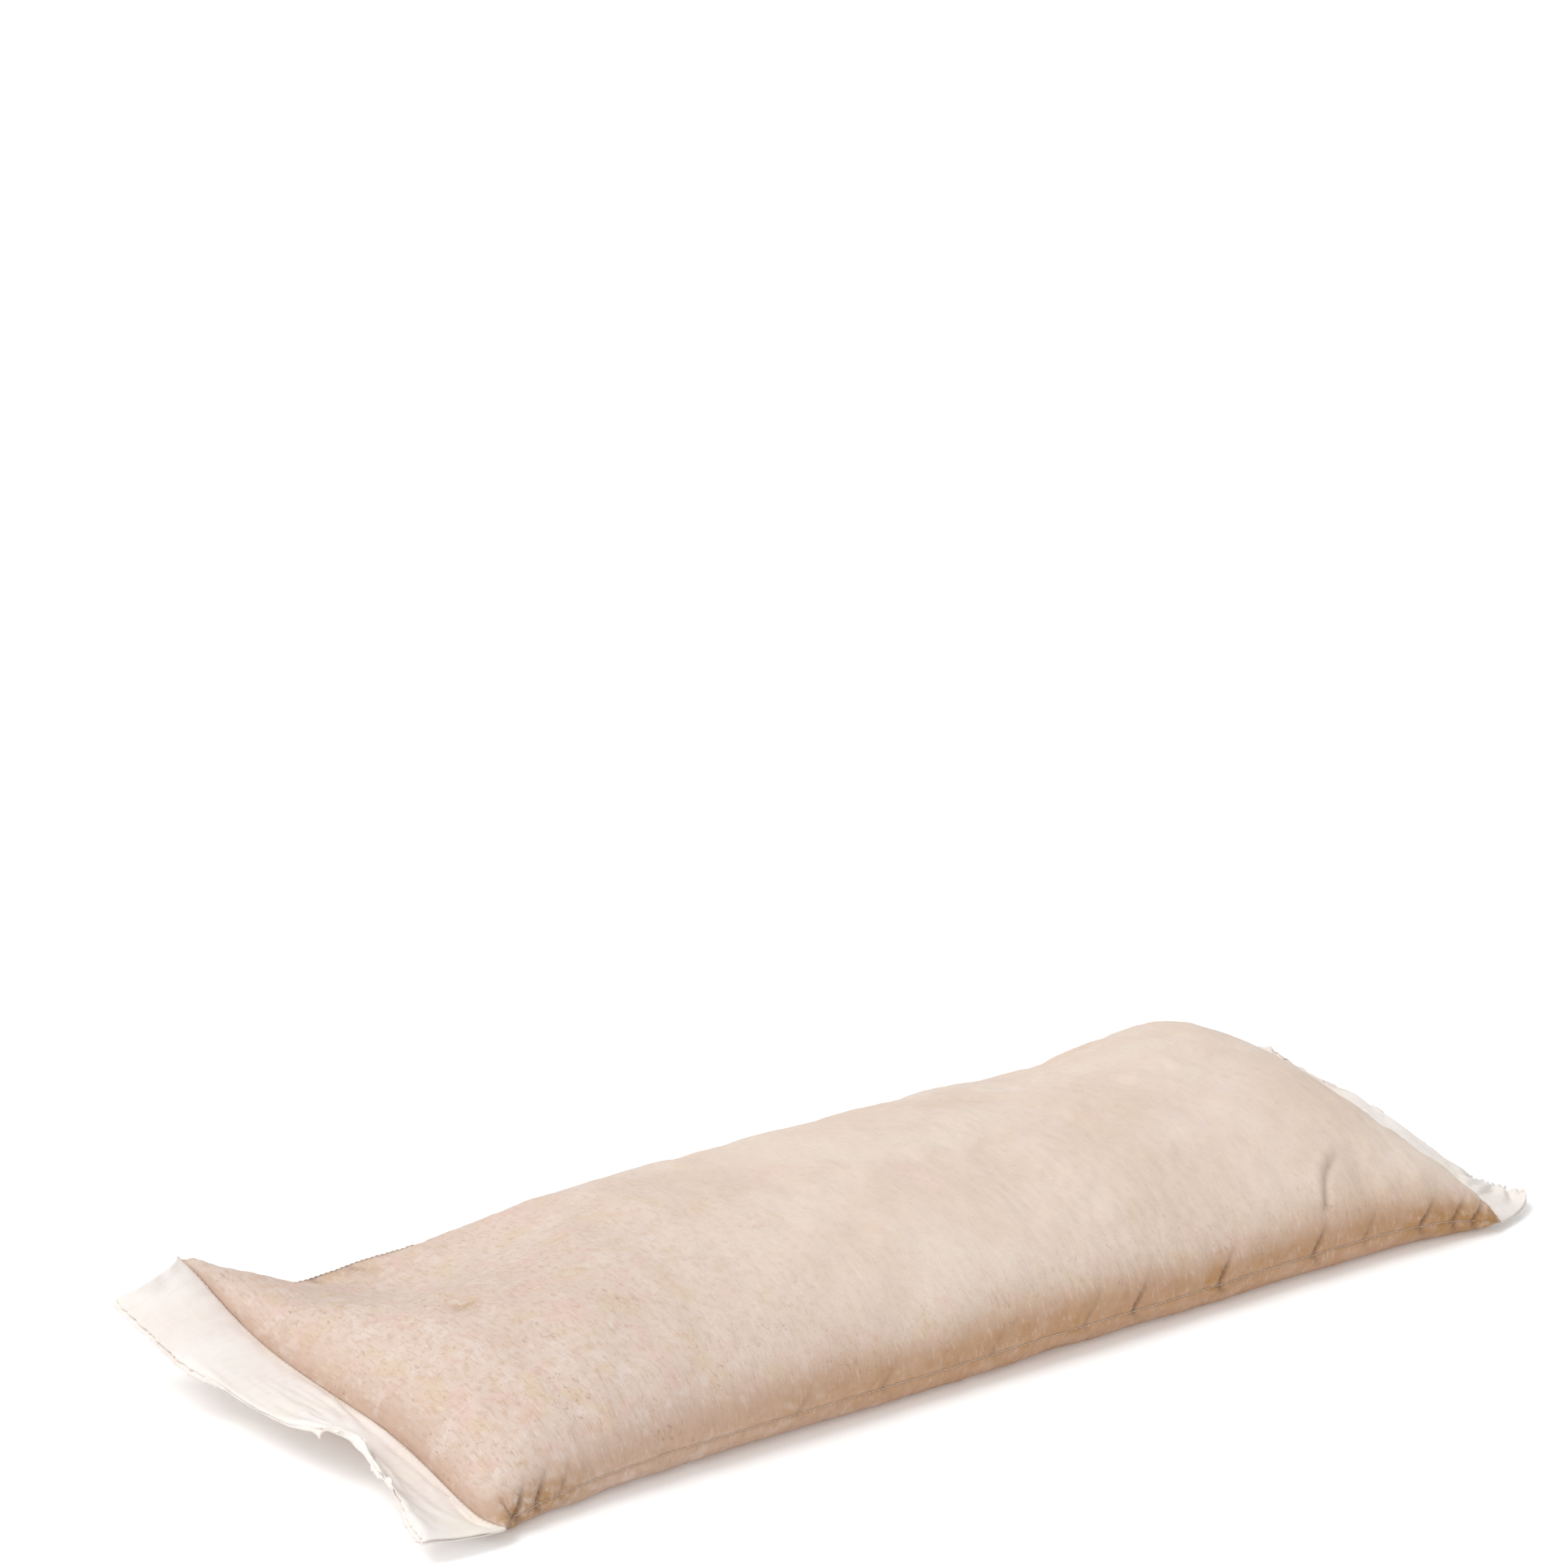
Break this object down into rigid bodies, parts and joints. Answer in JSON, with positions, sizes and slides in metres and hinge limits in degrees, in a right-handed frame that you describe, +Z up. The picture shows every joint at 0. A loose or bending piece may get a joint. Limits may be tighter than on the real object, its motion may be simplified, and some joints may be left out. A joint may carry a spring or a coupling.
{
  "type": "bolster pillow",
  "caption": "Long soft bolster pillow with a loose filling in a light cloth bag, sewn flat across each end with a short flange of loose cloth beyond.",
  "frame": {"origin": "on the floor under the middle of the pillow, at the bottom centre of its box", "axes": "+X along the pillow towards the picture's right end, +Y away from the picture's near side, +Z up"},
  "size_m": [0.731, 0.263, 0.0899],
  "materials": {
    "casing": "matt, thin and slightly see-through",
    "flange_cloth": "matt, thin and see-through, raw edged",
    "filling": "loose dry husks",
    "thread": "spun sewing thread"
  },
  "bodies": {
    "pillow": {"upper_panel": "casing", "lower_panel": "casing", "filling": "filling", "near_side_thread": "thread", "far_side_thread": "thread", "left_end_upper_thread": "thread", "left_end_lower_thread": "thread", "right_end_upper_thread": "thread", "right_end_lower_thread": "thread"},
    "left_flange": {"left_flange_upper_ply": "flange_cloth", "left_flange_lower_ply": "flange_cloth"},
    "right_flange": {"right_flange_upper_ply": "flange_cloth", "right_flange_lower_ply": "flange_cloth"}
  },
  "joints": [
    {"name": "left_flange_fold", "type": "hinge", "parent": "pillow", "child": "left_flange", "pos_m": [-0.3255, 0, 0.02827], "axis": [0, 0.9971, 0.0755], "range_deg": [-10, 75], "stiffness_Nm_per_rad": 0.02},
    {"name": "right_flange_fold", "type": "hinge", "parent": "pillow", "child": "right_flange", "pos_m": [0.3255, 0, 0.02827], "axis": [0, -0.9971, -0.0755], "range_deg": [-10, 75], "stiffness_Nm_per_rad": 0.02}
  ]
}
